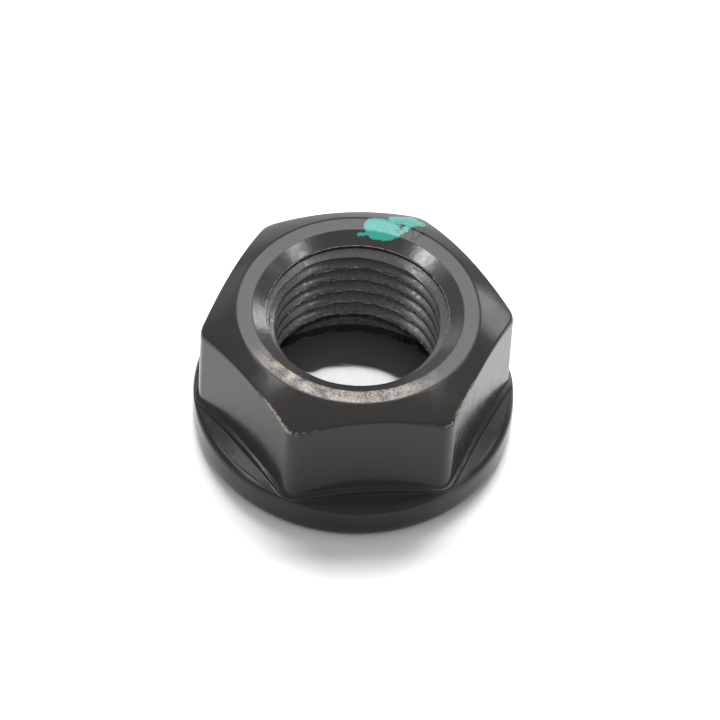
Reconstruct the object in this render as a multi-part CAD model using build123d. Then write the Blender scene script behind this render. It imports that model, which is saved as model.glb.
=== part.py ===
from build123d import *
import os
from math import cos, pi, radians, sin, sqrt, tan

# Serrated flange nut, forged in one piece: a hexagon that blends into a narrow round
# flange, with a tapped bore and a ring of locking serrations under the flange.
# Millimetres. The origin is the centre of the bearing face, +Z runs up the bore, and
# two of the wrench flats face -Y and +Y.

# Hexagon
across_flats = 24.0
corner_radius = 1.5             # rounding of the six upright edges
overall_height = 14.5

# Top: a flat ring left by a crowned chamfer that steepens towards the corners
top_ring_diameter = 21.1
chamfer_inner_angle = 30.0      # fall of the chamfer at the ring, degrees
chamfer_outer_angle = 36.0      # fall of the chamfer at the sharp corners, degrees

# Thread: the bore is plain here, at the thread's minor diameter
thread_diameter = 16.0
thread_pitch = 1.5
countersink_angle = 120.0       # of every cone in the bore
top_countersink_diameter = 18.4
relief_diameter = 15.84         # short clearance between the countersink and the first turn
relief_depth = 1.1              # top ring to the lower end of that clearance
recess_diameter = 19.4          # plain recess in the foot, round the mouth of the bore
recess_height = 3.6             # bearing face to the upper end of the recess's upright wall

# Flange
flange_diameter = 28.1
flange_side_height = 3.8        # bearing face to the upper end of the upright side
flange_slope = 15.0             # fall of the flange's top face, degrees
shoulder_reach = 0.6            # of the rounding of the rim's upper edge, along side and top face
rim_foot_reach = 1.8            # of the softer rounding of the rim's lower edge

# Ledge: the forging die leaves it at the foot of the flats, parallel to them
ledge_standoff = 0.30           # how far it stands out from each flat
ledge_height = 4.95             # bearing face to the ledge, where it meets the middle of a flat
ledge_slope = 25.0              # fall of the ledge's top towards the corners, degrees

# Serrations: ramped grooves, each with one steep wall that keeps the nut from backing off
serration_count = 24
serration_depth = 0.4
serration_outer_diameter = 24.4
serration_land_share = 0.35     # part of each pitch left flat on the bearing face
steep_wall_angle = 80.0         # from the bearing face, degrees

# Worked out from the sizes above
overrun = 1.0                                  # how far a cutting shape passes what it cuts
minor_depth_factor = 5 * sqrt(3) / 8           # ISO metric: minor = nominal - factor x pitch
apothem = across_flats / 2
corner_reach = apothem / cos(pi / 6)           # axis to the sharp corner of the hexagon
minor_radius = (thread_diameter - minor_depth_factor * thread_pitch) / 2
flange_radius = flange_diameter / 2


def turned(outline):
    """A closed outline in the XZ plane, revolved once round the bore."""
    return revolve(Plane.XZ * make_face(outline), axis=Axis.Z)


def hexagon(flat_distance, edge_radius, top):
    """A hexagonal prism with rounded upright edges, from just inside the flange up to a height."""
    sketch = RegularPolygon(flat_distance, side_count=6, major_radius=False)
    prism = extrude(fillet(sketch.vertices(), edge_radius), top - rim_foot_reach)
    return Pos(0, 0, rim_foot_reach) * prism


def crown():
    """The turned envelope of the top: a flat ring and the crowned chamfer round it."""
    ring = (top_ring_diameter / 2, overall_height)
    inner, outer = radians(chamfer_inner_angle), radians(chamfer_outer_angle)
    crown_radius = (corner_reach - ring[0]) / (sin(outer) - sin(inner))
    sweep = 2 * (chamfer_outer_angle - chamfer_inner_angle)
    chamfer = JernArc(start=ring, tangent=(cos(inner), -sin(inner)), radius=crown_radius, arc_size=-sweep)
    reach = (chamfer @ 1).X
    return turned(chamfer + Polyline(chamfer @ 1, (reach, 0), (0, 0), (0, overall_height), ring))


def hexagon_body():
    """The wrench hexagon with its chamfered top."""
    return hexagon(apothem, corner_radius, overall_height) & crown()


def flange():
    """The round flange: rounded foot, upright side, rounded shoulder and a gently falling top face."""
    slope = radians(flange_slope)
    foot = Bezier((flange_radius - rim_foot_reach, 0), (flange_radius, 0), (flange_radius, rim_foot_reach))
    shoulder = Bezier(
        (flange_radius, flange_side_height - shoulder_reach),
        (flange_radius, flange_side_height),
        (flange_radius - shoulder_reach * cos(slope), flange_side_height + shoulder_reach * sin(slope)))
    top_at_axis = flange_side_height + flange_radius * tan(slope)
    side = Line(foot @ 1, shoulder @ 0)
    rest = Polyline(shoulder @ 1, (0, top_at_axis), (0, 0), foot @ 0)
    return turned(foot + side + shoulder + rest)


def ledge():
    """The low step at the foot of the flats: a turned cone trimmed to a slightly larger hexagon."""
    fall = tan(radians(ledge_slope))
    reach = corner_reach + overrun
    cone = Polyline((0, 0), (reach, 0), (reach, ledge_height - (reach - apothem) * fall),
                    (0, ledge_height + apothem * fall), close=True)
    trim = hexagon(apothem + ledge_standoff, corner_radius + ledge_standoff, ledge_height)
    return turned(cone) & trim


def bore():
    """The cutting shape of the bore: recess, minor diameter, short clearance and countersink."""
    flare = tan(radians(countersink_angle / 2))
    mouth, relief, recess = top_countersink_diameter / 2, relief_diameter / 2, recess_diameter / 2
    outline = Polyline(
        (0, -overrun),
        (recess, -overrun),
        (recess, recess_height),
        (minor_radius, recess_height + (recess - minor_radius) / flare),
        (minor_radius, overall_height - relief_depth - (relief - minor_radius) / flare),
        (relief, overall_height - relief_depth),
        (relief, overall_height - (mouth - relief) / flare),
        (mouth + overrun * flare, overall_height + overrun),
        (0, overall_height + overrun),
        close=True)
    return turned(outline)


def groove_section(radius):
    """The triangle that one groove cuts at a radius: steep wall, then a ramp to the next land."""
    width = radius * 2 * tan(pi / serration_count * (1 - serration_land_share))
    lean = serration_depth / tan(radians(steep_wall_angle))
    ramp = serration_depth / (width - lean)
    wall_foot = (-width / 2 - overrun / tan(radians(steep_wall_angle)), -overrun)
    ramp_foot = (width / 2 + overrun / ramp, -overrun)
    triangle = make_face(Polyline(wall_foot, (lean - width / 2, serration_depth), ramp_foot, close=True))
    return Plane(origin=(radius, 0, 0), x_dir=(0, 1, 0), z_dir=(1, 0, 0)) * triangle


def serrations():
    """All the grooves of the bearing face, evenly spaced, open to the recess, with a land centred on +X."""
    inner, outer = recess_diameter / 2 - overrun, serration_outer_diameter / 2
    groove = loft([groove_section(inner), groove_section(outer)], ruled=True)
    half_pitch = 180 / serration_count
    return PolarLocations(0, serration_count, start_angle=half_pitch) * groove


def nut():
    """The whole nut."""
    return hexagon_body() + ledge() + flange() - bore() - serrations()


os.makedirs("parts", exist_ok=True)
export_step(nut(), "parts/flange_nut.step")
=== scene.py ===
"""A black-coated serrated flange nut, alone on a pale studio floor.

The nut is one closed mesh. Its outline is worked out for every direction round the bore
at once, from the mouth of the bore over the chamfer, the flats and the flange to the
serrations, and up the thread again, and each bend is rounded by its own reach.
"""

import logging
from dataclasses import dataclass, field
from enum import Enum, IntEnum, auto
from math import cos, pi, radians, sin, tan

import bmesh
import bpy
import numpy as np
from mathutils import Matrix, Vector
from numpy.typing import NDArray


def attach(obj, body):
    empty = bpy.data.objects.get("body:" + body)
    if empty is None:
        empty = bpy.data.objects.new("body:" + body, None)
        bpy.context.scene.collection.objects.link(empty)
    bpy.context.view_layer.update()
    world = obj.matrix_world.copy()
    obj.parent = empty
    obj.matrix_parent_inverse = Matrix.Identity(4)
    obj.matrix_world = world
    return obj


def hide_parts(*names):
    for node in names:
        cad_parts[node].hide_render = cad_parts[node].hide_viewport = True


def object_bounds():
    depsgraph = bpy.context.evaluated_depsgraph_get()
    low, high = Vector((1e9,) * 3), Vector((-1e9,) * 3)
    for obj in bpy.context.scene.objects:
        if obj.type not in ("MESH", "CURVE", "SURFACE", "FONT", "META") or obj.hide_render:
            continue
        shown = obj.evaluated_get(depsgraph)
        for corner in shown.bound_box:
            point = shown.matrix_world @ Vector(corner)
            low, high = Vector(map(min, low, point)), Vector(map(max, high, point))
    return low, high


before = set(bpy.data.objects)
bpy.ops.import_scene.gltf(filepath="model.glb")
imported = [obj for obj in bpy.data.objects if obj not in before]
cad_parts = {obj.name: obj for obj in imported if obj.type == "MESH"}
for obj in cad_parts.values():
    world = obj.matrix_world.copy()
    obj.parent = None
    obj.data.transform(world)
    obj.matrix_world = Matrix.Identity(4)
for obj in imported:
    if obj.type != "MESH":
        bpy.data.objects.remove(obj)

log = logging.getLogger("flange_nut")

Rows = NDArray[np.float64]      # a value for each column round the bore, or for each row and column

NODE = "flange_nut"
MM = 0.001                      # one millimetre, in the metres of the frame
TINY = 1e-6                     # smaller than any size here, in mm; keeps a division from zero
SHARP_ANGLE = 27.0              # faces that meet at more than this keep a sharp edge, in degrees
CAD_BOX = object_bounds()
CAD_LOW, CAD_HIGH = (np.array(corner) / MM for corner in CAD_BOX)


class Zone(IntEnum):
    """The finishes of the nut, in the order of its material slots."""

    COAT = 0
    RING = 1
    THREAD = 2
    COUNTERSINK = 3
    RECESS = 4


# ---------------------------------------------------------------- outline and grid

@dataclass
class Outline:
    """A chain of bends in the half-planes of all columns, rounded and turned into rows.

    Attributes:
        columns: number of columns round the bore.
        hold: distance of the row that keeps the face beside a rounding flat, in mm.
        hold_share: largest part of a side that this distance may take.
        share: largest part of a side that a rounding may take.
        places: radius and height of each bend.
        reaches: reach of each bend's rounding.
        counts: rows across each rounding.
        rub_and_highlight_levels: how worn each rounding is; at some edges the wear also paints a highlight.
        zones: finish after each bend.
    """

    columns: int
    hold: float = 0.06
    hold_share: float = 0.1
    share: float = 0.42
    places: list[Rows] = field(default_factory=list)
    reaches: list[Rows] = field(default_factory=list)
    counts: list[int] = field(default_factory=list)
    rub_and_highlight_levels: list[Rows] = field(default_factory=list)
    zones: list[Zone] = field(default_factory=list)

    def bend(self, radius: Rows | float, height: Rows | float, reach: Rows | float = 0.0, rows: int = 1,
             rub_and_highlight: Rows | float = 0.0, zone: Zone = Zone.COAT) -> None:
        """Append one bend, the same in every direction where a plain number is given.

        Args:
            radius: distance from the bore's axis, in mm.
            height: height above the bearing face, in mm.
            reach: how far the rounding reaches along both sides, in mm.
            rows: rows across the rounding, 1 for a bend that stays sharp.
            rub_and_highlight: how worn the rounding is, 0 to 1; at some edges this also paints a highlight.
            zone: finish of the face that follows.
        """
        flat = np.zeros(self.columns)
        self.places.append(np.stack([flat + radius, flat + height]))
        self.reaches.append(flat + reach)
        self.counts.append(rows)
        self.rub_and_highlight_levels.append(flat + rub_and_highlight)
        self.zones.append(zone)

    def rows(self) -> tuple[Rows, Rows, Rows, NDArray[np.int32]]:
        """Round every bend and list the rows from the first bend to the last.

        A rounding is the parabola that leaves each side at its reach: with A and B the
        points on the two sides and C the bend, (1-t)^2 A + 2t(1-t) C + t^2 B. Its wear, which at
        some edges is also a painted highlight, is the middle of a sine's hump, full at t = 1/2 and a third at
        the ends.

        Returns:
            Radius, height and rub (wear and painted highlight) of each row and column, and the zone after
            each row.
        """
        place = np.stack(self.places)
        side = np.diff(place, axis=0)
        length = np.maximum(np.hypot(side[:, 0], side[:, 1]), TINY)
        points, rub_and_highlight_levels, zones = [place[:1]], [0 * self.rub_and_highlight_levels[0][None]], [self.zones[0]]
        for k in range(1, len(place) - 1):
            if self.counts[k] == 1:
                points.append(place[k:k + 1])
                rub_and_highlight_levels.append(self.rub_and_highlight_levels[k][None])
                zones.append(self.zones[k])
                continue
            before, after = -side[k - 1] / length[k - 1], side[k] / length[k]
            reach_in = np.minimum(self.reaches[k], self.share * length[k - 1])
            reach_out = np.minimum(self.reaches[k], self.share * length[k])
            hold_in = np.minimum(self.hold, self.hold_share * length[k - 1])
            hold_out = np.minimum(self.hold, self.hold_share * length[k])
            start, end = place[k] + before * reach_in, place[k] + after * reach_out
            t = np.linspace(0.0, 1.0, self.counts[k])[:, None, None]
            arc = (1 - t) ** 2 * start + 2 * t * (1 - t) * place[k] + t ** 2 * end
            points += [(start + before * hold_in)[None], arc, (end + after * hold_out)[None]]
            worn_and_highlit = np.sin(pi * (t[:, 0] * 0.8 + 0.1)) * self.rub_and_highlight_levels[k]
            rub_and_highlight_levels += [0 * worn_and_highlit[:1], worn_and_highlit, 0 * worn_and_highlit[:1]]
            zones += [self.zones[k - 1]] + [self.zones[k]] * (self.counts[k] + 1)
        points.append(place[-1:])
        rub_and_highlight_levels.append(0 * self.rub_and_highlight_levels[0][None])
        zones.append(self.zones[-1])
        joined = np.concatenate(points)
        return joined[:, 0], joined[:, 1], np.concatenate(rub_and_highlight_levels), np.array(zones)


def grid_mesh(name: str, points: NDArray[np.float64], rub_and_highlight: Rows, zone: NDArray[np.int32],
              merge: float) -> bpy.types.Mesh:
    """Make a closed mesh from a grid whose last row and column meet its first.

    Each cell joins a point to its neighbours in the next row and the next column. Points
    that meet are then merged, which closes the seam.

    Args:
        name: the mesh's name.
        points: rows x columns x 3 places, in metres.
        rub_and_highlight: how worn each point is, 0 to 1; at some edges this also paints a highlight.
        zone: material slot of each cell, rows x (columns - 1); the last row closes the loop.
        merge: largest distance between points that are one, in metres.

    Returns:
        The mesh, with its faces outwards and its sharp edges marked.
    """
    rows, columns = points.shape[:2]
    index = np.arange(rows * columns).reshape(rows, columns)
    below = np.roll(index, -1, axis=0)
    cells = np.stack([index[:, :-1], below[:, :-1], below[:, 1:], index[:, 1:]], axis=-1).reshape(-1, 4)
    mesh = bpy.data.meshes.new(name)
    mesh.vertices.add(rows * columns)
    mesh.vertices.foreach_set("co", points.reshape(-1))
    mesh.loops.add(cells.size)
    mesh.loops.foreach_set("vertex_index", cells.reshape(-1))
    mesh.polygons.add(len(cells))
    mesh.polygons.foreach_set("loop_start", np.arange(0, cells.size, 4))
    mesh.polygons.foreach_set("material_index", zone.reshape(-1).astype(np.int32))
    mesh.polygons.foreach_set("use_smooth", np.ones(len(cells), dtype=bool))
    mesh.update(calc_edges=True)
    # Per-point rub: wear, and at some edges a painted highlight drawn as pale steel.
    layer = mesh.attributes.new("rub_and_highlight", "FLOAT", "POINT")
    layer.data.foreach_set("value", rub_and_highlight.reshape(-1).astype(np.float32))
    work = bmesh.new()
    work.from_mesh(mesh)
    bmesh.ops.remove_doubles(work, verts=work.verts, dist=merge)
    bmesh.ops.recalc_face_normals(work, faces=work.faces)
    work.to_mesh(mesh)
    work.free()
    mesh.set_sharp_from_angle(angle=radians(SHARP_ANGLE))
    mesh.validate()
    return mesh


# ---------------------------------------------------------------- the parts of the nut's form

@dataclass
class Hexagon:
    """The wrench hexagon under its crowned chamfer, corners on +X and -X.

    Attributes:
        height: of the nut.
        flats: across flats.
        corner: rounding of the upright edges.
        ring: diameter of the flat ring that the chamfer leaves on top.
        ring_edge: reach of the rounding between ring and chamfer.
        ring_rub: how worn that rounding is.
        inner_angle: fall of the chamfer at the ring, in degrees.
        outer_angle: fall of the chamfer at the sharp corners, in degrees.
        chamfer_parts: places of the rows across the chamfer, in shares of its width.
        edge: reach of the rounding between chamfer and flat, in the middle of a flat.
        corner_edge: the same at the corners, where the die leaves it softer.
        softening: how much farther out than a flat's middle the edge is at its softest.
        rubbed_and_highlit: directions in which the edge between chamfer and flat is most worn, in degrees;
            there the pale steel is also a painted highlight, and the ledge's painted highlight lies there
            too.
        rubbed_and_highlit_width: of each worn and highlit stretch, in degrees.
        least_rub: how worn this edge is everywhere.
        most_rub_and_highlight: how much more worn it is in the worn stretches, where the pale steel is also a
            painted highlight.
        corner_rub: share of that at a corner away from them.
    All sizes are in mm.
    """

    height: float
    flats: float = 24.0
    corner: float = 1.5
    ring: float = 21.1
    ring_edge: float = 0.14
    ring_rub: float = 0.5
    inner_angle: float = 30.0
    outer_angle: float = 36.0
    chamfer_parts: tuple[float, ...] = (0.2, 0.4, 0.6, 0.78)
    edge: float = 0.25
    corner_edge: float = 0.45
    softening: float = 1.2
    rubbed_and_highlit: tuple[float, ...] = (230.0, 312.0)
    rubbed_and_highlit_width: float = 10.0
    least_rub: float = 0.45
    most_rub_and_highlight: float = 0.8
    corner_rub: float = 0.3

    def reach(self, angle: Rows, standoff: float = 0.0) -> Rows:
        """Distance from the axis to the rounded hexagon, in each direction.

        On a flat it is the apothem over the cosine of the angle from the flat's normal. Near
        a corner it is the far crossing of the direction with the corner's circle.

        Args:
            angle: directions round the axis, in radians.
            standoff: how far outside the wrench flats the hexagon lies, in mm.

        Returns:
            The distance in each direction, in mm.
        """
        apothem, rounding = self.flats / 2 + standoff, self.corner + standoff
        from_corner = np.abs((angle + pi / 6) % (pi / 3) - pi / 6)
        flat = apothem / np.cos(pi / 6 - from_corner)
        centre = (apothem - rounding) / cos(pi / 6)
        across = centre * np.sin(from_corner)
        round_end = centre * np.cos(from_corner) + np.sqrt(np.maximum(rounding ** 2 - across ** 2, 0))
        touch = pi / 6 - np.arctan((apothem - rounding) * tan(pi / 6) / apothem)
        return np.where(from_corner < touch, round_end, flat)

    def crown(self, radius: Rows | float) -> Rows:
        """Height of the crowned chamfer: a circular arc that starts at the ring and steepens outwards.

        Args:
            radius: distance from the axis, in mm.

        Returns:
            The height, in mm.
        """
        inner, outer = radians(self.inner_angle), radians(self.outer_angle)
        start, corner = self.ring / 2, self.flats / 2 / cos(pi / 6)
        bow = (corner - start) / (sin(outer) - sin(inner))
        return self.height - bow * cos(inner) + np.sqrt(bow ** 2 - (radius - start + bow * sin(inner)) ** 2)

    def rub_and_highlight(self, angle: Rows, width: float) -> Rows:
        """How worn the edges are, with their painted highlight, in each direction: a bell round each worn
        place, its width in degrees.
        """
        return sum(np.exp(-((np.degrees(angle) - middle) / width) ** 2) for middle in self.rubbed_and_highlit)

    def bends(self, outline: Outline, angle: Rows) -> None:
        """Add the ring's outer edge, the chamfer and its edge with the flats.

        Args:
            outline: the outline that takes the bends.
            angle: direction of each column, in radians.
        """
        outer = self.reach(angle)
        start = self.ring / 2
        outline.bend(start, self.height, self.ring_edge, 5, rub_and_highlight=self.ring_rub)
        for part in self.chamfer_parts:
            radius = start + part * (outer - start)
            outline.bend(radius, self.crown(radius))
        near_corner = np.clip((outer - self.flats / 2) / self.softening, 0, 1)
        edge = self.edge + (self.corner_edge - self.edge) * near_corner
        # Pale steel along the edge between chamfer and flat: wear, and near the two front corners also a
        # painted highlight.
        more = np.clip(near_corner * self.corner_rub + self.rub_and_highlight(angle, self.rubbed_and_highlit_width), 0, 1)
        outline.bend(outer, self.crown(outer), edge, 7, rub_and_highlight=self.least_rub + self.most_rub_and_highlight * more)


@dataclass
class Flange:
    """The narrow round flange and the die's ledge at the foot of the flats.

    Attributes:
        diameter: of the flange.
        side: height of the upright side.
        slope: fall of the flange's top, in degrees.
        shoulder: reach of the rounding of the rim's upper edge.
        shoulder_rub: how worn that rounding is.
        foot: reach of the softer rounding of the rim's lower edge.
        ledge_standoff: how far the ledge stands out from each flat.
        ledge_height: height of the ledge at the middle of a flat.
        ledge_slope: fall of the ledge's top towards the corners, in degrees.
        ledge_root: reach of the hollow between flat and ledge.
        ledge_edge: reach of the rounding of the ledge's edge.
        ledge_foot: reach of the hollow between ledge and flange.
        ledge_highlight_width: width of each stretch of the ledge's edge that is drawn as pale steel, a
            painted highlight, in degrees.
    All sizes are in mm.
    """

    diameter: float
    side: float = 3.8
    slope: float = 15.0
    shoulder: float = 0.6
    shoulder_rub: float = 0.25
    foot: float = 1.8
    ledge_standoff: float = 0.30
    ledge_height: float = 4.95
    ledge_slope: float = 25.0
    ledge_root: float = 0.08
    ledge_edge: float = 0.1
    ledge_foot: float = 0.12
    ledge_highlight_width: float = 14.0

    def bends(self, outline: Outline, hexagon: Hexagon, angle: Rows) -> None:
        """Add the ledge, the flange's falling top and its shoulder, down to the rounded foot.

        Args:
            outline: the outline that takes the bends.
            hexagon: the hexagon that stands on the flange.
            angle: direction of each column, in radians.
        """
        rim = self.diameter / 2
        wall = hexagon.reach(angle)
        ledge = hexagon.reach(angle, self.ledge_standoff)
        ledge_fall, fall = tan(radians(self.ledge_slope)), tan(radians(self.slope))
        middle = hexagon.flats / 2
        outline.bend(wall, self.ledge_height - (wall - middle) * ledge_fall, self.ledge_root, 3)
        # The ledge's edge is pale steel only near the two front corners: a painted highlight.
        outline.bend(ledge, self.ledge_height - (ledge - middle) * ledge_fall, self.ledge_edge, 4,
                     rub_and_highlight=hexagon.rub_and_highlight(angle, self.ledge_highlight_width))
        outline.bend(ledge, self.side + (rim - ledge) * fall, self.ledge_foot, 3)
        outline.bend(rim, self.side, self.shoulder, 8, rub_and_highlight=self.shoulder_rub)
        outline.bend(rim, self.foot)

    def foot_curve(self, part: Rows) -> tuple[Rows, Rows]:
        """Radius and height on the foot's parabola, from the side (part 0) to the bearing face (part 1)."""
        return self.diameter / 2 - self.foot * part ** 2, self.foot * (1 - part) ** 2


@dataclass
class Serrations:
    """Ramped grooves in the bearing face, each with one steep wall.

    Attributes:
        count: number of grooves.
        depth: of a groove at its steep wall.
        outer: diameter where they end.
        land: share of the pitch that stays flat.
        wall: share of the pitch that the steep wall takes.
        land_columns: columns of the grid on one land.
        ramp_columns: columns on one ramp.
        foot_rows: rows of the rim's rounded foot.
        face_rows: rows of the grooved face.
        end_lean: how far a groove's outer end leans inwards.
    All sizes are in mm.
    """

    count: int = 24
    depth: float = 0.4
    outer: float = 24.4
    land: float = 0.35
    wall: float = 0.025
    land_columns: int = 4
    ramp_columns: int = 11
    foot_rows: int = 8
    face_rows: int = 4
    end_lean: float = 0.01

    def columns(self) -> int:
        """Number of grid columns that all the serrations need."""
        return self.count * (self.land_columns + 1 + self.ramp_columns)

    def pitch_places(self) -> Rows:
        """Places of one pitch's columns, in shares of the pitch.

        Returns:
            Even steps over the land, a gap for the steep wall, and even steps down the ramp.
        """
        start = -self.land / 2
        land = np.linspace(start, -start, self.land_columns + 1)
        ramp = np.linspace(-start + self.wall, start + 1, self.ramp_columns + 1)
        return np.concatenate([land, ramp[:-1]])

    def angles(self) -> Rows:
        """Directions of all the columns, with a land centred on +X, in radians."""
        turn = np.arange(self.count)[:, None] + self.pitch_places()[None]
        return np.append(turn.reshape(-1), self.count + self.pitch_places()[0]) * 2 * pi / self.count

    def lift(self) -> Rows:
        """Height of the groove's floor over each column, in mm.

        Returns:
            Nothing on the land, the full depth at the top of the steep wall, and from there a
            straight fall along the ramp.
        """
        place = self.pitch_places()
        wall_end = self.land / 2 + self.wall
        ramp = 1 - (place - wall_end) / (1 - self.land / 2 - wall_end)
        height = np.where(place > self.land / 2 + TINY, ramp, 0) * self.depth
        return np.append(np.tile(height, self.count), height[0])

    def rows(self, flange: Flange, inner: float) -> tuple[Rows, Rows]:
        """Rows of the foot and the bearing face, with the grooves cut in from their outer end to the recess.

        Args:
            flange: the flange whose foot and bearing face these are.
            inner: diameter of the recess that the grooves open into, in mm.

        Returns:
            Radius and height of each row and column, in mm.
        """
        foot_radius, foot_height = flange.foot_curve(np.linspace(0, 1, self.foot_rows + 1)[1:])
        end = self.outer / 2
        face_radius = np.linspace(end - self.end_lean, inner / 2, self.face_rows)
        radius = np.concatenate([foot_radius, [end], face_radius])
        height = np.concatenate([foot_height, np.zeros(1 + self.face_rows)])
        grooved = np.concatenate([np.zeros(self.foot_rows + 1), np.ones(self.face_rows)])
        raised = np.maximum(height[:, None], grooved[:, None] * self.lift()[None])
        return np.repeat(radius[:, None], raised.shape[1], axis=1), raised


@dataclass
class Bore:
    """The bore: a recess in the foot, a right-hand metric thread, a short clearance and a countersink.

    Attributes:
        height: of the nut.
        major: diameter at the thread's sharp roots.
        pitch: of the thread.
        start: height of a root over +X, which sets where the thread's turns lie.
        depth_share: part of the sharp thread's height that lies between root and crest.
        root_flat: width of the thread's flat root, in shares of the pitch.
        mouth: diameter of the countersink in the top ring.
        mouth_edge: reach of the rounding between countersink and ring.
        mouth_rub: how worn that rounding is.
        relief: diameter of the clearance under the countersink, which also cuts the thread's roots.
        relief_depth: from the top ring to the lower end of the clearance.
        relief_edge: reach of the rounding between clearance and countersink.
        relief_rub: how worn that rounding is.
        recess: diameter of the recess in the foot.
        recess_height: of the recess's upright wall.
        recess_parts: places of the rows up that wall, in shares of its height.
        recess_edge: reach of the hollow between the recess's wall and its cone.
        countersink: full angle of every cone, in degrees.
    All sizes are in mm.
    """

    height: float
    major: float = 16.0
    pitch: float = 1.5
    start: float = 0.075
    depth_share: float = 5 / 8
    root_flat: float = 1 / 8
    mouth: float = 18.4
    mouth_edge: float = 0.08
    mouth_rub: float = 0.6
    relief: float = 15.84
    relief_depth: float = 1.1
    relief_edge: float = 0.07
    relief_rub: float = 1.3
    recess: float = 19.4
    recess_height: float = 3.6
    recess_parts: tuple[float, ...] = (0.3, 0.6)
    recess_edge: float = 0.4
    countersink: float = 120.0

    @property
    def flare(self) -> float:
        """How far a cone widens for each mm of height."""
        return tan(radians(self.countersink / 2))

    def turn_rows(self) -> Rows:
        """Places of the rows of one turn, from one root to the next, closer at the crest's edges."""
        half = np.array([0.0, 0.0625, 0.14, 0.22, 0.30, 0.36, 0.39])
        return np.concatenate([half, [0.5], 1 - half[:0:-1]])

    def thread_rows(self, angle: Rows) -> tuple[Rows, Rows]:
        """Rows that follow the helix from the recess's cone to the clearance.

        With h the place along the helix in turns, a row's height is the start plus the pitch
        times (h + angle / one turn), kept between the two ends. The radius falls from the
        root along flanks at 60 degrees to the crest, and the cones at both ends cut it away.

        Args:
            angle: direction of each column, in radians.

        Returns:
            Radius and height of each row and column, in mm.
        """
        root = self.relief / 2
        low = self.recess_height + (self.recess / 2 - root) / self.flare
        high = self.height - self.relief_depth
        flank = tan(radians(60.0))
        depth = self.depth_share * self.pitch * flank / 2
        first, last = (low - self.start) / self.pitch - 1, (high - self.start) / self.pitch
        turns = np.arange(np.floor(first) - 1, np.ceil(last) + 1)
        along = (turns[:, None] + self.turn_rows()[None]).reshape(-1)
        inside = np.flatnonzero((along > first) & (along < last))
        along = along[inside[0] - 1:inside[-1] + 2]
        height = self.start + self.pitch * (along[:, None] + angle[None] / (2 * pi))
        height = np.clip(height, low, high)
        from_root = np.abs(along - np.round(along))
        cut = np.clip((from_root - self.root_flat / 2) * self.pitch * flank, 0, depth)
        thread = np.minimum(self.major / 2 - cut, root)[:, None]
        cone = root - np.minimum(height - low, high - height) * self.flare
        return np.maximum(thread, cone), height

    def recess_rows(self, columns: int) -> tuple[Rows, Rows, Rows, NDArray[np.int32]]:
        """Rows up the recess's wall and over its cone to the thread.

        Args:
            columns: number of columns round the bore.

        Returns:
            Radius, height and rub of each row and column, and the zone after each row.
        """
        outline = Outline(columns=columns)
        wall, root = self.recess / 2, self.relief / 2
        for part in self.recess_parts:
            outline.bend(wall, self.recess_height * part, zone=Zone.RECESS)
        outline.bend(wall, self.recess_height, self.recess_edge, 5, zone=Zone.RECESS)
        outline.bend(root, self.recess_height + (wall - root) / self.flare, zone=Zone.RECESS)
        return outline.rows()

    def mouth_rows(self, columns: int) -> tuple[Rows, Rows, Rows, NDArray[np.int32]]:
        """Rows up the clearance and over its edge, to the middle of the countersink.

        Args:
            columns: number of columns round the bore.

        Returns:
            Radius, height and rub of each row and column, and the zone after each row.
        """
        outline = Outline(columns=columns)
        root = self.relief / 2
        outline.bend(root, self.height - self.relief_depth)
        outline.bend(root, self.height - (self.mouth / 2 - root) / self.flare, self.relief_edge, 4,
                     rub_and_highlight=self.relief_rub, zone=Zone.COUNTERSINK)
        outline.bend(*self.seam(), zone=Zone.COUNTERSINK)
        return outline.rows()

    def seam(self) -> tuple[float, float]:
        """Radius and height of the countersink's middle, where the rows outside and inside meet, in mm."""
        radius = (self.relief + self.mouth) / 4
        return radius, self.height - (self.mouth / 2 - radius) / self.flare


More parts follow.
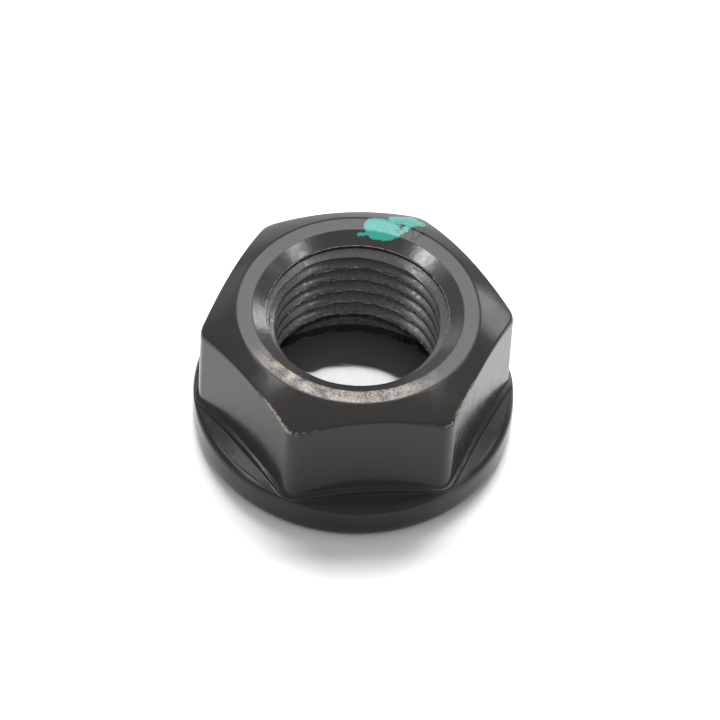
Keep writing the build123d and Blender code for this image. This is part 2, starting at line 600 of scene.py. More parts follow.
@dataclass
class FlangeNut:
    """The whole nut: hexagon, flange, serrations and bore in one closed mesh.

    Attributes:
        dense: how much closer the columns lie at the corners than on the flats, 0 to 1.
        ring_parts: places of the rows across the top ring, in shares of its width.
        ring_margin: width of the ring's outer part that keeps the hexagon's columns, in mm.
        rim_margin: height of the rim's upper part that keeps them, in mm.
        merge: largest distance between points that are one, in mm.
        flange: the flange.
        hexagon: the hexagon.
        bore: the bore.
        serrations: the serrations.
    """

    dense: float = 0.72
    ring_parts: tuple[float, ...] = (0.3, 0.6)
    ring_margin: float = 0.3
    rim_margin: float = 0.9
    merge: float = 0.001
    flange: Flange = field(default_factory=lambda: Flange(diameter=float(CAD_HIGH[0] - CAD_LOW[0])))
    hexagon: Hexagon = field(default_factory=lambda: Hexagon(height=float(CAD_HIGH[2])))
    bore: Bore = field(default_factory=lambda: Bore(height=float(CAD_HIGH[2])))
    serrations: Serrations = field(default_factory=Serrations)

    def sector_angles(self) -> Rows:
        """Directions of the columns on the hexagon, in radians.

        Returns:
            Even steps, less a sine with one period for each flat, which gathers them at the corners.
        """
        step = np.linspace(0, 6, self.serrations.columns() + 1)
        return (step - self.dense * np.sin(2 * pi * step) / (2 * pi)) * pi / 3

    def outside(self) -> tuple[Rows, Rows, Rows, Rows, NDArray[np.int32]]:
        """Rows from the countersink over the top and down to the rim's foot.

        The columns lie even at the bore, move to the hexagon's spacing across the ring, and
        move on to the serrations' places down the rim.

        Returns:
            Radius, height, direction and rub (wear and painted highlight) of each row and column, and the
            zone after each row.
        """
        sector = self.sector_angles()
        even = np.linspace(0, 2 * pi, len(sector))
        outline = Outline(columns=len(sector))
        ring_start, ring_end = self.bore.mouth / 2, self.hexagon.ring / 2
        outline.bend(*self.bore.seam(), zone=Zone.COUNTERSINK)
        outline.bend(ring_start, self.hexagon.height, self.bore.mouth_edge, 4, rub_and_highlight=self.bore.mouth_rub,
                     zone=Zone.RING)
        for part in self.ring_parts:
            outline.bend(ring_start + part * (ring_end - ring_start), self.hexagon.height, zone=Zone.RING)
        self.hexagon.bends(outline, sector)
        self.flange.bends(outline, self.hexagon, sector)
        radius, height, rub_and_highlight, zone = outline.rows()
        settled, side = ring_end - self.ring_margin, self.flange.side - self.rim_margin
        inward = np.clip((settled - radius) / (settled - ring_start), 0, 1)
        down = np.clip((side - height) / side, 0, 1)
        down = np.where(radius > self.flange.diameter / 2 - TINY, down, 0)
        angle = sector + inward * (even - sector) + down * (self.serrations.angles() - sector)
        return radius, height, angle, rub_and_highlight, zone

    def underside(self) -> tuple[Rows, Rows, Rows]:
        """Rows of the rim's foot and the bearing face.

        Returns:
            Radius, height and direction of each row and column.
        """
        sector, cut = self.sector_angles(), self.serrations.angles()
        radius, height = self.serrations.rows(self.flange, self.bore.recess)
        side = self.flange.side - self.rim_margin
        down = np.clip(np.maximum((side - height) / side, 1 - height / self.flange.foot), 0, 1)
        down = np.where(radius < self.flange.diameter / 2 - self.flange.foot + TINY, 1, down)
        return radius, height, sector + down * (cut - sector)

    def inside(self) -> tuple[Rows, Rows, Rows, Rows, NDArray[np.int32]]:
        """Rows from the recess up the thread to the countersink.

        Returns:
            Radius, height, direction and rub of each row and column, and the zone after each row.
        """
        cut = self.serrations.angles()
        even = np.linspace(0, 2 * pi, len(cut))
        low_radius, low_height, low_rub, low_zone = self.bore.recess_rows(len(cut))
        thread_radius, thread_height = self.bore.thread_rows(even)
        top_radius, top_height, top_rub, top_zone = self.bore.mouth_rows(len(cut))
        radius = np.concatenate([low_radius, thread_radius, top_radius])
        height = np.concatenate([low_height, thread_height, top_height])
        rub_and_highlight = np.concatenate([low_rub, 0 * thread_radius, top_rub])
        zone = np.concatenate([low_zone, np.full(len(thread_radius), Zone.THREAD), top_zone])
        angle = np.repeat(even[None], len(radius), axis=0)
        angle[0] = (cut + even) / 2
        return radius, height, angle, rub_and_highlight, zone

    def mesh(self) -> bpy.types.Mesh:
        """Put all the rows together and turn them round the bore.

        Returns:
            The mesh, in metres.
        """
        outside, inside = self.outside(), self.inside()
        under = self.underside()
        radius, height, angle = (np.concatenate([outside[k], under[k], inside[k]]) for k in range(3))
        worn_and_highlit = np.concatenate([outside[3], 0 * under[0], inside[3]])
        zone = np.concatenate([outside[4], np.full(len(under[0]), Zone.COAT), inside[4]])
        cells = np.repeat(zone[:, None], radius.shape[1] - 1, axis=1)
        points = np.stack([radius * np.cos(angle), radius * np.sin(angle), height], axis=-1) * MM
        return grid_mesh(NODE + "_body", points, worn_and_highlit, cells, self.merge * MM)

    def build(self, finishes: list[bpy.types.Material]) -> bpy.types.Object:
        """Make the nut, dress it and put it in the place of the solid.

        Args:
            finishes: materials in the order of the zones.

        Returns:
            The nut's object.
        """
        piece = bpy.data.objects.new(NODE + "_body", self.mesh())
        bpy.context.scene.collection.objects.link(piece)
        for finish in finishes:
            piece.data.materials.append(finish)
        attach(piece, "root")
        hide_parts(NODE)
        return piece


# ---------------------------------------------------------------- finishes

def linear(colour: str) -> tuple[float, float, float, float]:
    """Turn an sRGB hex colour into a linear one.

    Args:
        colour: the colour, as #rrggbb.

    Returns:
        Linear red, green, blue and alpha, 0 to 1.
    """
    parts = [int(colour[k:k + 2], 16) / 255 for k in (1, 3, 5)]
    red, green, blue = [p / 12.92 if p <= 0.04045 else ((p + 0.055) / 1.055) ** 2.4 for p in parts]
    return red, green, blue, 1.0


@dataclass
class NodeTree:
    """A material's nodes, added one at a time with their settings and links.

    Attributes:
        material: the material.
    """

    material: bpy.types.Material

    @classmethod
    def named(cls, name: str) -> "NodeTree":
        """Start a material with an empty node tree.

        Args:
            name: of the material.

        Returns:
            Its node tree, ready for nodes.
        """
        material = bpy.data.materials.new(name)
        material.use_nodes = True
        material.node_tree.nodes.clear()
        return cls(material)

    def add(self, kind: str, inputs: dict[str | int, object] | None = None,
            **settings: object) -> bpy.types.Node:
        """Add one node.

        Args:
            kind: the node's type name.
            inputs: a value or another node's output socket for each input, by name or number.
            settings: the node's own properties.

        Returns:
            The node.
        """
        node = self.material.node_tree.nodes.new(kind)
        for key, value in settings.items():
            setattr(node, key, value)
        for key, value in (inputs or {}).items():
            if isinstance(value, bpy.types.NodeSocket):
                self.material.node_tree.links.new(value, node.inputs[key])
            else:
                node.inputs[key].default_value = value
        return node


@dataclass(frozen=True)
class Stroke:
    """One stroke of paint or one scratch, seen from above: a straight run with round ends.

    Attributes:
        start: X and Y of its start, in mm.
        end: X and Y of its end, in mm.
        half_width: of the stroke, in mm.
        soft: half of the fade at its edge, in mm.
    """

    start: tuple[float, float]
    end: tuple[float, float]
    half_width: float
    soft: float = 0.04

    def mask(self, tree: NodeTree, flat_place: bpy.types.NodeSocket) -> bpy.types.NodeSocket:
        """Add nodes that are 1 on the stroke and 0 off it.

        With p the place from the start and d the run, the distance from the stroke's middle
        line is |p - d clamp(p.d / d.d)|, and the mask fades where that is the half width.

        Args:
            tree: the material's nodes.
            flat_place: the place on the nut, with its height dropped, in metres.

        Returns:
            The mask.
        """
        run = (Vector(self.end) - Vector(self.start)).to_3d() * MM
        offset = tree.add("ShaderNodeVectorMath", {0: flat_place, 1: Vector(self.start).to_3d() * MM},
                          operation="SUBTRACT").outputs[0]
        along = tree.add("ShaderNodeVectorMath", {0: offset, 1: run / run.length_squared},
                         operation="DOT_PRODUCT").outputs["Value"]
        clamped = tree.add("ShaderNodeClamp", {"Value": along}).outputs[0]
        nearest = tree.add("ShaderNodeVectorMath", {0: run, "Scale": clamped}, operation="SCALE").outputs[0]
        away = tree.add("ShaderNodeVectorMath", {0: offset, 1: nearest}, operation="DISTANCE")
        return tree.add("ShaderNodeMapRange", {
            "Value": away.outputs["Value"], "From Min": (self.half_width + self.soft) * MM,
            "From Max": (self.half_width - self.soft) * MM}).outputs[0]


@dataclass(frozen=True)
class PaintMark:
    """The inspector's dab of teal lacquer across the ring, with the scratches beside it.

    The lacquer lies dark and even in the countersink. On the ring it was pressed thin, so
    the eye sees it paler there, speckled and ragged.

    Attributes:
        solid: colour of the thick paint.
        thin: colour of the paint that is pressed thin on the ring.
        scratch_dark: near-black colour drawn along each scratch.
        lowest: height below which nothing is painted, in mm.
        film: depths below the top ring where the paint starts to thin and is thin, in mm.
        ragged: size of the notches in the paint's edge, in mm.
        shake: how far the edge strays, in mm.
        speck: size of the specks in the thin paint, in mm.
        gaps: noise at which dragged paint is missing, and at which it is whole.
        specks: noise at which thin paint is darkest, and at which it is palest.
        dabs: strokes where the paint lies whole.
        drags: strokes where it was dragged thin.
        scratches: scratches in the coat beside it.
    """

    solid: str = "#2a857b"
    thin: str = "#4f8a82"
    scratch_dark: str = "#0a0a0a"
    lowest: float = 12.0
    film: tuple[float, float] = (0.12, 0.02)
    ragged: float = 0.35
    shake: float = 0.4
    speck: float = 0.16
    gaps: tuple[float, float] = (0.36, 0.44)
    specks: tuple[float, float] = (0.4, 0.6)
    dabs: tuple[Stroke, ...] = (
        Stroke((2.45, 9.4), (3.3, 9.2), 1.0),
        Stroke((2.2, 8.75), (3.6, 8.4), 0.5),
        Stroke((0.95, 8.75), (1.6, 8.75), 0.13),
    )
    drags: tuple[Stroke, ...] = (
        Stroke((3.9, 9.7), (6.5, 10.25), 0.5),
        Stroke((4.2, 10.5), (5.9, 10.95), 0.5),
        Stroke((4.25, 8.2), (4.4, 10.4), 0.24),
        Stroke((4.55, 8.5), (5.9, 9.7), 0.26),
        Stroke((4.0, 8.3), (5.1, 8.75), 0.2),
    )
    scratches: tuple[Stroke, ...] = (
        Stroke((5.45, 7.65), (5.75, 8.9), 0.08),
        Stroke((5.5, 7.6), (6.7, 8.55), 0.08),
        Stroke((5.75, 7.55), (6.85, 8.4), 0.08),
        Stroke((4.9, 7.9), (5.3, 9.6), 0.06),
    )

    def over(self, tree: NodeTree, place: bpy.types.NodeSocket,
             colour: bpy.types.NodeSocket) -> bpy.types.NodeSocket:
        """Lay the paint and the scratches over a colour.

        Args:
            tree: the material's nodes.
            place: object coordinates.
            colour: the colour under the paint.

        Returns:
            The new colour.
        """
        missing, kept = self.gaps
        flat_place = self.shaken(tree, place)
        streak = tree.add("ShaderNodeTexNoise", {"Vector": place, "Scale": 1 / (self.speck * MM),
                                                 "Detail": 2.0}).outputs["Fac"]
        height = tree.add("ShaderNodeSeparateXYZ", {0: place}).outputs["Z"]
        whole, dragged = (self.joined(tree, flat_place, strokes) for strokes in (self.dabs, self.drags))
        streaky = tree.add("ShaderNodeMapRange", {"Value": streak, "From Min": missing, "From Max": kept})
        thinned = tree.add("ShaderNodeMath", {0: dragged, 1: streaky.outputs[0]},
                           operation="MULTIPLY").outputs[0]
        upper = tree.add("ShaderNodeMath", {0: height, 1: self.lowest * MM},
                         operation="GREATER_THAN").outputs[0]
        paint = tree.add("ShaderNodeMath", {0: whole, 1: thinned}, operation="MAXIMUM").outputs[0]
        paint = tree.add("ShaderNodeMath", {0: paint, 1: upper}, operation="MULTIPLY").outputs[0]
        scratched = tree.add("ShaderNodeMix", {
            "Factor": self.joined(tree, flat_place, self.scratches), "A": colour, "B": linear(self.scratch_dark)},
            data_type="RGBA").outputs["Result"]
        return tree.add("ShaderNodeMix", {
            "Factor": paint, "A": scratched, "B": self.teal(tree, height, streak)},
            data_type="RGBA").outputs["Result"]

    def shaken(self, tree: NodeTree, place: bpy.types.NodeSocket) -> bpy.types.NodeSocket:
        """Drop the height of a place and push it about at random, which makes the paint's edge ragged.

        Args:
            tree: the material's nodes.
            place: object coordinates.

        Returns:
            The place, flat and pushed, in metres.
        """
        ragged = tree.add("ShaderNodeTexNoise", {"Vector": place, "Scale": 1 / (self.ragged * MM),
                                                 "Detail": 3.0}).outputs["Color"]
        centred = tree.add("ShaderNodeVectorMath", {0: ragged, 1: (-0.5, -0.5, -0.5)},
                           operation="ADD").outputs[0]
        pushed = tree.add("ShaderNodeVectorMath", {0: centred, 1: (self.shake * MM,) * 3, 2: place},
                          operation="MULTIPLY_ADD").outputs[0]
        return tree.add("ShaderNodeVectorMath", {0: pushed, 1: (1, 1, 0)}, operation="MULTIPLY").outputs[0]

    def teal(self, tree: NodeTree, height: bpy.types.NodeSocket,
             streak: bpy.types.NodeSocket) -> bpy.types.NodeSocket:
        """Colour of the paint: thick below the ring, and thin in specks on it.

        Args:
            tree: the material's nodes.
            height: above the bearing face, in metres.
            streak: noise that places the specks.

        Returns:
            The colour.
        """
        thick_below, thin_above = (CAD_HIGH[2] - depth for depth in self.film)
        darkest, palest = self.specks
        on_top = tree.add("ShaderNodeMapRange", {"Value": height, "From Min": thick_below * MM,
                                                 "From Max": thin_above * MM}).outputs[0]
        speckle = tree.add("ShaderNodeMapRange", {"Value": streak, "From Min": darkest, "From Max": palest,
                                                  "To Min": 0.1, "To Max": 1.0}).outputs[0]
        thin = tree.add("ShaderNodeMath", {0: on_top, 1: speckle}, operation="MULTIPLY").outputs[0]
        return tree.add("ShaderNodeMix", {"Factor": thin, "A": linear(self.solid), "B": linear(self.thin)},
                        data_type="RGBA").outputs["Result"]

    def joined(self, tree: NodeTree, flat_place: bpy.types.NodeSocket,
               strokes: tuple[Stroke, ...]) -> bpy.types.NodeSocket:
        """Join strokes into one mask.

        Args:
            tree: the material's nodes.
            flat_place: the place on the nut, with its height dropped, in metres.
            strokes: the strokes.

        Returns:
            A mask that is 1 on every stroke.
        """
        mask = strokes[0].mask(tree, flat_place)
        for stroke in strokes[1:]:
            mask = tree.add("ShaderNodeMath", {0: mask, 1: stroke.mask(tree, flat_place)},
                            operation="MAXIMUM").outputs[0]
        return mask


@dataclass(frozen=True)
class BlackCoat:
    """Forged steel with a glossy black oxide coat, oiled.

    To the eye it is a deep warm charcoal that mirrors the lamps softly and a little
    unevenly, with thin paler lines where an edge is rubbed down to the steel; near the
    front corners and along the ledge these lines are also painted highlights.

    Attributes:
        name: of the material.
        colour: of the coat.
        worn_and_highlit: of the steel where the coat is rubbed, which also paints the edges' highlights.
        roughness: of the coat.
        spread: how far the roughness strays below and above that.
        ior: of the oil film on the coat, lower than a lacquer's.
        grain: size of the coat's mottling, in mm.
        fleck: size of the flecks in the rubbed edges, in mm.
        wear_and_highlight_levels: noise times rub at which the pale steel starts to show, and at which it is
            full.
        relief: height of the forging's unevenness, in mm.
    """

    name: str = "black_oxide_steel"
    colour: str = "#2a2928"
    worn_and_highlit: str = "#8a847b"
    roughness: float = 0.17
    spread: tuple[float, float] = (0.03, 0.05)
    ior: float = 1.27
    grain: float = 0.9
    fleck: float = 0.22
    wear_and_highlight_levels: tuple[float, float] = (0.36, 0.62)
    relief: float = 0.008

    def material(self, mark: PaintMark) -> bpy.types.Material:
        """Build the material: dark gloss with a faint mottling, lighter where an edge is rubbed and where it
        carries a painted highlight.

        The wear and painted highlight are fine noise times the mesh's rub, so they break into flecks at their
        ends.

        Args:
            mark: the paint over it.

        Returns:
            The material.
        """
        tree = NodeTree.named(self.name)
        place = tree.add("ShaderNodeTexCoord").outputs["Object"]
        mottle = tree.add("ShaderNodeTexNoise", {"Vector": place, "Scale": 1 / (self.grain * MM),
                                                 "Detail": 4.0}).outputs["Fac"]
        fine = tree.add("ShaderNodeTexNoise", {"Vector": place, "Scale": 1 / (self.fleck * MM),
                                               "Detail": 3.0}).outputs["Fac"]
        rub_and_highlight = tree.add("ShaderNodeAttribute", attribute_name="rub_and_highlight").outputs["Fac"]
        patchy = tree.add("ShaderNodeMath", {0: fine, 1: rub_and_highlight}, operation="MULTIPLY").outputs[0]
        starts, full_mix = self.wear_and_highlight_levels
        # Pale steel on the edges: wear, and near the front corners and on the ledge a painted highlight.
        worn_and_highlit = tree.add("ShaderNodeMapRange", {"Value": patchy, "From Min": starts, "From Max": full_mix})
        rubbed_and_highlit = tree.add("ShaderNodeMix", {"Factor": worn_and_highlit.outputs[0], "A": linear(self.colour),
                                            "B": linear(self.worn_and_highlit)}, data_type="RGBA").outputs["Result"]
        smoother, duller = self.spread
        gloss = tree.add("ShaderNodeMapRange", {
            "Value": mottle, "From Min": 0.3, "From Max": 0.7,
            "To Min": self.roughness - smoother, "To Max": self.roughness + duller})
        bump = tree.add("ShaderNodeBump", {"Height": mottle, "Distance": self.relief * MM})
        shader = tree.add("ShaderNodeBsdfPrincipled", {
            "Base Color": mark.over(tree, place, rubbed_and_highlit), "Roughness": gloss.outputs[0],
            "IOR": self.ior, "Normal": bump.outputs[0]})
        tree.add("ShaderNodeOutputMaterial", {"Surface": shader.outputs[0]})
        return tree.material


@dataclass(frozen=True)
class FacedRing:
    """The faced ring round the bore: the same coat over turned steel, duller, worn through at the front.

    To the eye it is an even mid grey, and at the front a pale band broken by dark specks; the band is partly
    wear and partly a painted highlight.

    Attributes:
        name: of the material.
        colour: of the coat.
        worn_and_highlit: of the steel where the coat is gone, which at the front is also a painted highlight.
        roughness: of the coat.
        ior: of the coat.
        worn_and_highlit_azimuth: middle of the worn stretch, which is also a painted highlight, in degrees
            from +X.
        worn_and_highlit_half: half of the worn and highlit stretch, in degrees.
        worn_and_highlit_fade: how far its wear and highlight start to fade inside that and have gone outside
            it, in degrees.
        grit: size of the specks, in mm.
        patch: size of the patches that the specks gather in, in mm.
        wear_and_highlight_levels: sum of both noises at which the pale steel starts to show, and at which it
            is full.
        relief: height of the tool's scratches, in mm.
    """

    name: str = "faced_black_steel"
    colour: str = "#2e2d2d"
    worn_and_highlit: str = "#8c8478"
    roughness: float = 0.36
    ior: float = 1.4
    worn_and_highlit_azimuth: float = -105.0
    worn_and_highlit_half: float = 44.0
    worn_and_highlit_fade: tuple[float, float] = (16.0, 12.0)
    grit: float = 0.16
    patch: float = 1.2
    wear_and_highlight_levels: tuple[float, float] = (0.84, 1.2)
    relief: float = 0.012

    def worn_and_highlit_stretch(self, tree: NodeTree, place: bpy.types.NodeSocket) -> bpy.types.NodeSocket:
        """Add nodes that are 1 in the ring's worn and highlit stretch and fade to 0 past its ends.

        Args:
            tree: the material's nodes.
            place: object coordinates.

        Returns:
            The mask.
        """
        axes = tree.add("ShaderNodeSeparateXYZ", {0: place})
        turn = tree.add("ShaderNodeMath", {0: axes.outputs["Y"], 1: axes.outputs["X"]}, operation="ARCTAN2")
        off = tree.add("ShaderNodeMath", {0: turn.outputs[0], 1: radians(self.worn_and_highlit_azimuth)},
                       operation="SUBTRACT").outputs[0]
        off = tree.add("ShaderNodeMath", {0: off}, operation="ABSOLUTE").outputs[0]
        inside, outside = self.worn_and_highlit_fade
        return tree.add("ShaderNodeMapRange", {
            "Value": off, "From Min": radians(self.worn_and_highlit_half + outside),
            "From Max": radians(self.worn_and_highlit_half - inside)}).outputs[0]

    def material(self, mark: PaintMark) -> bpy.types.Material:
        """Build the material: the wear, partly a painted highlight, is fine noise and coarse noise added up,
        kept to the worn stretch.

        Args:
            mark: the paint over it.

        Returns:
            The material.
        """
        tree = NodeTree.named(self.name)
        place = tree.add("ShaderNodeTexCoord").outputs["Object"]
        grit = tree.add("ShaderNodeTexNoise", {"Vector": place, "Scale": 1 / (self.grit * MM), "Detail": 3.0,
                                               "Roughness": 0.65}).outputs["Fac"]
        patch = tree.add("ShaderNodeTexNoise", {"Vector": place, "Scale": 1 / (self.patch * MM),
                                                "Detail": 3.0}).outputs["Fac"]
        amount = tree.add("ShaderNodeMath", {0: grit, 1: patch}, operation="ADD").outputs[0]
        starts, full_mix = self.wear_and_highlight_levels
        speck = tree.add("ShaderNodeMapRange", {"Value": amount, "From Min": starts, "From Max": full_mix})
        # The pale band at the front of the ring: partly wear, partly a painted highlight.
        worn_and_highlit = tree.add("ShaderNodeMath", {0: speck.outputs[0], 1: self.worn_and_highlit_stretch(tree, place)},
                        operation="MULTIPLY").outputs[0]
        rubbed_and_highlit = tree.add("ShaderNodeMix", {"Factor": worn_and_highlit, "A": linear(self.colour), "B": linear(self.worn_and_highlit)},
                          data_type="RGBA").outputs["Result"]
        bump = tree.add("ShaderNodeBump", {"Height": grit, "Distance": self.relief * MM})
        shader = tree.add("ShaderNodeBsdfPrincipled", {
            "Base Color": mark.over(tree, place, rubbed_and_highlit), "Roughness": self.roughness,
            "IOR": self.ior, "Normal": bump.outputs[0]})
        tree.add("ShaderNodeOutputMaterial", {"Surface": shader.outputs[0]})
        return tree.material


@dataclass(frozen=True)
class CutThread:
    """The tapped thread and the recess: the same coat on cut steel, with torn places that glint.

    To the eye it is a dull dark grey, a little grainy, with small soft glints on the flanks.

    Attributes:
        name: of the material.
        colour: of the coat.
        roughness: of the coat.
        glint: roughness of the torn places.
        ior: of the coat.
        tear: size of the torn places, in mm, coarser than real ones so that they show.
        relief: height of the torn places, in mm.
    """

    name: str = "tapped_steel"
    colour: str = "#424240"
    roughness: float = 0.36
    glint: float = 0.2
    ior: float = 1.45
    tear: float = 0.3
    relief: float = 0.006

    def material(self) -> bpy.types.Material:
        """Build the material: one noise both lifts the torn places and polishes them.

        Returns:
            The material.
        """
        tree = NodeTree.named(self.name)
        place = tree.add("ShaderNodeTexCoord").outputs["Object"]
        torn = tree.add("ShaderNodeTexNoise", {"Vector": place, "Scale": 1 / (self.tear * MM), "Detail": 2.0,
                                               "Roughness": 0.45}).outputs["Fac"]
        gloss = tree.add("ShaderNodeMapRange", {"Value": torn, "From Min": 0.4, "From Max": 0.6,
                                                "To Min": self.glint, "To Max": self.roughness})
        bump = tree.add("ShaderNodeBump", {"Height": torn, "Distance": self.relief * MM})
        shader = tree.add("ShaderNodeBsdfPrincipled", {
            "Base Color": linear(self.colour), "Roughness": gloss.outputs[0], "IOR": self.ior,
            "Normal": bump.outputs[0]})
        tree.add("ShaderNodeOutputMaterial", {"Surface": shader.outputs[0]})
        return tree.material


# ---------------------------------------------------------------- studio

def around(azimuth: float, elevation: float, distance: float) -> Vector:
    """Turn a direction and a distance into a place.

    Args:
        azimuth: from +X, in degrees.
        elevation: above the floor, in degrees.
        distance: from the origin.

    Returns:
        The place, in the distance's units.
    """
    turn, rise = radians(azimuth), radians(elevation)
    return Vector((cos(rise) * cos(turn), cos(rise) * sin(turn), sin(rise))) * distance


def hang(lamp: bpy.types.Light, place: Vector, target: Vector,
         pieces: list[bpy.types.Object]) -> bpy.types.Object:
    """Hang a lamp in the scene.

    Args:
        lamp: the lamp.
        place: where it hangs, in metres.
        target: what it points at, in metres.
        pieces: the only pieces that it lights.

    Returns:
        The lamp's object.
    """
    stand = bpy.data.objects.new(lamp.name, lamp)
    stand.location = place
    stand.rotation_euler = (target - place).to_track_quat("-Z", "Y").to_euler()
    bpy.context.scene.collection.objects.link(stand)
    lit = bpy.data.collections.new("lit_by_" + lamp.name)
    for piece in pieces:
        lit.objects.link(piece)
    stand.light_linking.receiver_collection = lit
    return stand


class Lit(Enum):
    """What a lamp lights."""

    BOTH = auto()
    NUT = auto()
    FLOOR = auto()


@dataclass(frozen=True)
class Softbox:
    """A soft rectangular lamp that faces the nut.

    Attributes:
        name: of the lamp.
        azimuth: direction from the nut, in degrees from +X.
        elevation: above the floor, in degrees.
        width: in metres.
        height: in metres.
        brightness: radiance of its face.
        lit: what it lights.
        distance: from the nut, in metres.
    """

    name: str
    azimuth: float
    elevation: float
    width: float
    height: float
    brightness: float
    lit: Lit = Lit.NUT
    distance: float = 1.0

    def build(self, target: Vector, pieces: dict[Lit, list[bpy.types.Object]]) -> bpy.types.Object:
        """Make the lamp.

        Args:
            target: the place that it points at, in metres.
            pieces: the pieces that each kind of lamp lights.

        Returns:
            The lamp's object.
        """
        lamp = bpy.data.lights.new(self.name, "AREA")
        lamp.shape = "RECTANGLE"
        lamp.size, lamp.size_y = self.width, self.height
        lamp.energy = self.brightness * pi * self.width * self.height
        place = target + around(self.azimuth, self.elevation, self.distance)
        return hang(lamp, place, target, pieces[self.lit])


@dataclass(frozen=True)
class BoreSpot:
    """A narrow soft spot aimed into the bore.

    Attributes:
        name: of the lamp.
        azimuth: direction from the bore, in degrees from +X.
        elevation: above the floor, in degrees.
        energy: in watts.
        half_cone: half the angle of its cone, in degrees.
        softness: half the angle that its face fills, seen from the bore, in degrees.
        target: place that it is aimed at, in mm.
        glossy: whether the coat mirrors it.
        blend: part of the cone over which it fades.
        distance: from the bore, in metres.
    """

    name: str
    azimuth: float
    elevation: float
    energy: float
    half_cone: float
    softness: float
    target: tuple[float, float, float]
    glossy: bool
    blend: float = 0.6
    distance: float = 0.4

    def build(self, pieces: list[bpy.types.Object]) -> bpy.types.Object:
        """Make the lamp.

        Args:
            pieces: the pieces that it lights.

        Returns:
            The lamp's object.
        """
        lamp = bpy.data.lights.new(self.name, "SPOT")
        lamp.spot_size, lamp.spot_blend = 2 * radians(self.half_cone), self.blend
        lamp.shadow_soft_size = self.distance * tan(radians(self.softness))
        lamp.energy = self.energy
        target = Vector(self.target) * MM
        spot = hang(lamp, target + around(self.azimuth, self.elevation, self.distance), target, pieces)
        spot.visible_glossy = self.glossy
        return spot


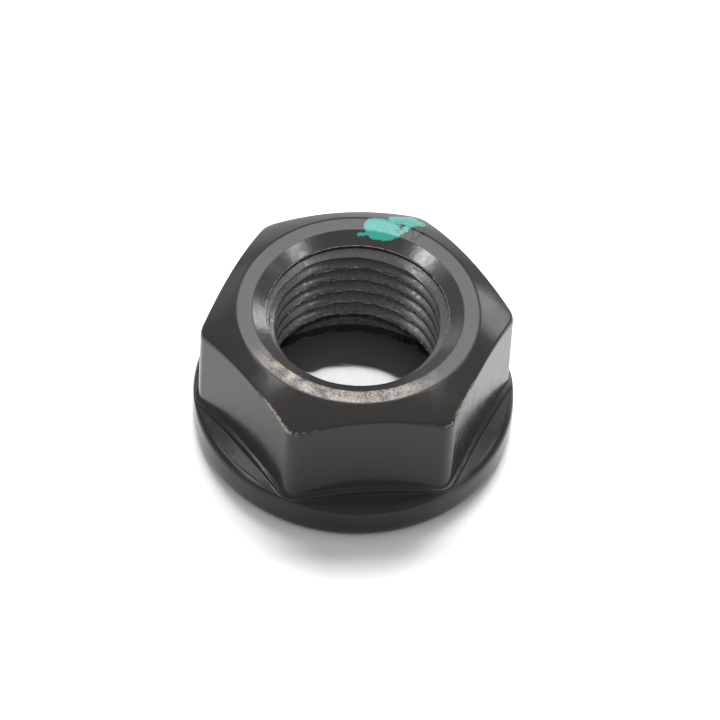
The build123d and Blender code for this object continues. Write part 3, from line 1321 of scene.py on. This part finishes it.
@dataclass
class Studio:
    """The pale floor, the soft light and the camera.

    Attributes:
        sky: brightness of the even light from all round.
        floor_colour: of the floor.
        far_shade_colour: of the floor far from the nut, painted shade.
        disc_shade_colour: of the floor under the nut, greyer paper as painted contact shade.
        light_pool_fade: distances from the nut between which the floor greys in painted shade, in mm.
        floor_reach: radius of the floor, in metres.
        floor_sides: sides of the floor's round outline.
        disc_radius: of the floor's disc under the nut, in mm.
        lamp_target: height that the softboxes point at, in mm.
        target: place that the camera looks at, in mm.
        azimuth: of the camera, in degrees from +X.
        elevation: of the camera, in degrees.
        distance: of the camera, in mm.
        roll: turn of the camera about its line of sight, in degrees.
        lens: focal length, in mm.
        sensor: width of the camera's sensor, in mm.
        lamps: the softboxes.
        disc_spot: shines from overhead through the bore, on the floor's disc alone.
        wall_spot: fills the shade on the bore's back wall.
    """

    sky: float = 0.42
    floor_colour: str = "#f2f2f2"
    far_shade_colour: str = "#a8a8a8"
    disc_shade_colour: str = "#a6a6a6"
    light_pool_fade: tuple[float, float] = (40.0, 85.0)
    floor_reach: float = 3.0
    floor_sides: int = 96
    disc_radius: float = 12.0
    lamp_target: float = 7.0
    target: tuple[float, float, float] = (0.41, -0.06, 7.745)
    azimuth: float = 261.57
    elevation: float = 50.04
    distance: float = 596.1
    roll: float = 3.423
    lens: float = 342.28
    sensor: float = 36.0
    lamps: tuple[Softbox, ...] = (
        Softbox("overhead_lamp", 82.0, 63.0, 0.78, 0.46, 8.4, Lit.BOTH),
        Softbox("back_softbox", 82.0, 46.0, 1.25, 0.24, 2.2, Lit.BOTH),
        Softbox("floor_key", 82.0, 63.0, 0.78, 0.46, 7.6, Lit.FLOOR),
        Softbox("floor_fill", 262.0, 50.0, 1.2, 0.6, 1.1, Lit.FLOOR),
        Softbox("left_softbox", 174.0, 57.0, 0.18, 0.18, 18.0),
        Softbox("right_softbox", -8.0, 57.0, 0.18, 0.18, 11.0),
        Softbox("left_strip", 192.0, 36.0, 0.12, 0.14, 18.0),
        Softbox("right_strip", -15.0, 33.0, 0.12, 0.14, 18.0),
        Softbox("left_fill", 150.0, 54.0, 0.24, 0.2, 6.0),
        Softbox("right_fill", 22.0, 50.0, 0.3, 0.2, 5.0),
        Softbox("back_right_softbox", 38.0, 17.0, 0.36, 0.26, 6.5),
        Softbox("back_left_softbox", 122.0, 14.0, 0.4, 0.26, 1.0),
    )
    disc_spot: BoreSpot = BoreSpot("disc_spot", azimuth=82.0, elevation=83.0, energy=1300.0, half_cone=1.8,
                                   softness=15.0, target=(0.0, 2.0, 0.0), glossy=True)
    wall_spot: BoreSpot = BoreSpot("wall_spot", azimuth=262.0, elevation=54.0, energy=9.0, half_cone=1.0,
                                   softness=1.5, target=(0.0, 1.0, 9.0), glossy=False)

    def paper(self, name: str, near: str) -> bpy.types.Material:
        """Make matt white paper, even to the eye, that greys far from the nut in painted shade, where the
        coat mirrors it.

        Args:
            name: of the material.
            near: colour of the paper near the nut.

        Returns:
            The material.
        """
        tree = NodeTree.named(name)
        place = tree.add("ShaderNodeTexCoord").outputs["Object"]
        spread = tree.add("ShaderNodeVectorMath", {0: place}, operation="LENGTH").outputs["Value"]
        # Painted shade: the paper greys with distance from the nut, like the edge of a lamp's pool of light.
        start, end = self.light_pool_fade
        fade = tree.add("ShaderNodeMapRange", {"Value": spread, "From Min": start * MM, "From Max": end * MM},
                        interpolation_type="SMOOTHSTEP")
        colour = tree.add("ShaderNodeMix", {"Factor": fade.outputs[0], "A": linear(near),
                                            "B": linear(self.far_shade_colour)}, data_type="RGBA").outputs["Result"]
        shader = tree.add("ShaderNodeBsdfPrincipled", {"Base Color": colour, "Roughness": 0.6})
        tree.add("ShaderNodeOutputMaterial", {"Surface": shader.outputs[0]})
        return tree.material

    def floor(self) -> list[bpy.types.Object]:
        """Lay a wide plain floor, with the disc under the nut a piece of its own.

        Returns:
            The floor and the disc, which the flange hides but for what is seen through the bore.
        """
        turn = np.linspace(0, 2 * pi, self.floor_sides, endpoint=False)
        circle = np.stack([np.cos(turn), np.sin(turn), 0 * turn], axis=-1)
        count = np.arange(self.floor_sides)
        following = (count + 1) % self.floor_sides
        band = np.stack([count, count + self.floor_sides, following + self.floor_sides, following], axis=-1)
        inner = circle * self.disc_radius * MM
        pieces = []
        # The disc under the nut is greyer paper than the floor round it: painted contact shade.
        for name, colour, places, faces in (
                ("floor", self.floor_colour, np.concatenate([inner, circle * self.floor_reach]), band),
                ("floor_under_nut", self.disc_shade_colour, inner, count[None])):
            mesh = bpy.data.meshes.new(name)
            mesh.from_pydata(places.tolist(), [], faces.tolist())
            mesh.materials.append(self.paper("matt_paper_" + name, colour))
            piece = bpy.data.objects.new(name, mesh)
            bpy.context.scene.collection.objects.link(piece)
            pieces.append(piece)
        return pieces

    def light(self, nut: bpy.types.Object, sheet: bpy.types.Object, disc: bpy.types.Object) -> None:
        """Set the even light and the lamps.

        Args:
            nut: the nut.
            sheet: the floor.
            disc: the floor's disc under the nut.
        """
        world = bpy.data.worlds.new("studio")
        world.use_nodes = True
        world.node_tree.nodes["Background"].inputs["Color"].default_value = (1, 1, 1, 1)
        world.node_tree.nodes["Background"].inputs["Strength"].default_value = self.sky
        bpy.context.scene.world = world
        bpy.context.scene.view_settings.view_transform = "Standard"
        self.disc_spot.build([disc])
        self.wall_spot.build([nut])
        pieces = {Lit.BOTH: [nut, sheet], Lit.NUT: [nut], Lit.FLOOR: [sheet]}
        for lamp in self.lamps:
            lamp.build(Vector((0, 0, self.lamp_target)) * MM, pieces)

    def camera(self) -> None:
        """Aim the camera at the nut from above the front."""
        lens = bpy.data.cameras.new("camera")
        lens.lens, lens.sensor_width, lens.clip_start = self.lens, self.sensor, 10 * MM
        camera = bpy.data.objects.new("camera", lens)
        target = Vector(self.target) * MM
        place = target + around(self.azimuth, self.elevation, self.distance * MM)
        facing = (target - place).to_track_quat("-Z", "Y").to_matrix().to_4x4()
        roll = Matrix.Rotation(radians(self.roll), 4, "Z")
        camera.matrix_world = Matrix.Translation(place) @ facing @ roll
        bpy.context.scene.collection.objects.link(camera)
        bpy.context.scene.camera = camera

    def build(self, nut: bpy.types.Object) -> None:
        """Set up the whole studio round the nut.

        Args:
            nut: the nut.
        """
        sheet, disc = self.floor()
        self.light(nut, sheet, disc)
        self.camera()


def main() -> None:
    """Build the nut and the studio, and report each."""
    logging.basicConfig(level=logging.INFO, format="%(message)s")
    mark = PaintMark()
    countersink = BlackCoat(name="turned_black_steel", ior=1.5, grain=0.5)
    # The recess is a paler grey than the thread's coat: painted light in the shaded recess.
    recess = CutThread(name="bored_steel_painted_light", colour="#525250", ior=1.5)
    nut = FlangeNut().build([
        BlackCoat().material(mark), FacedRing().material(mark), CutThread().material(),
        countersink.material(mark), recess.material()])
    log.info("%s: %d faces", nut.name, len(nut.data.polygons))
    Studio().build(nut)
    log.info("studio: floor, lamps and camera")


if __name__ == "__main__":
    main()
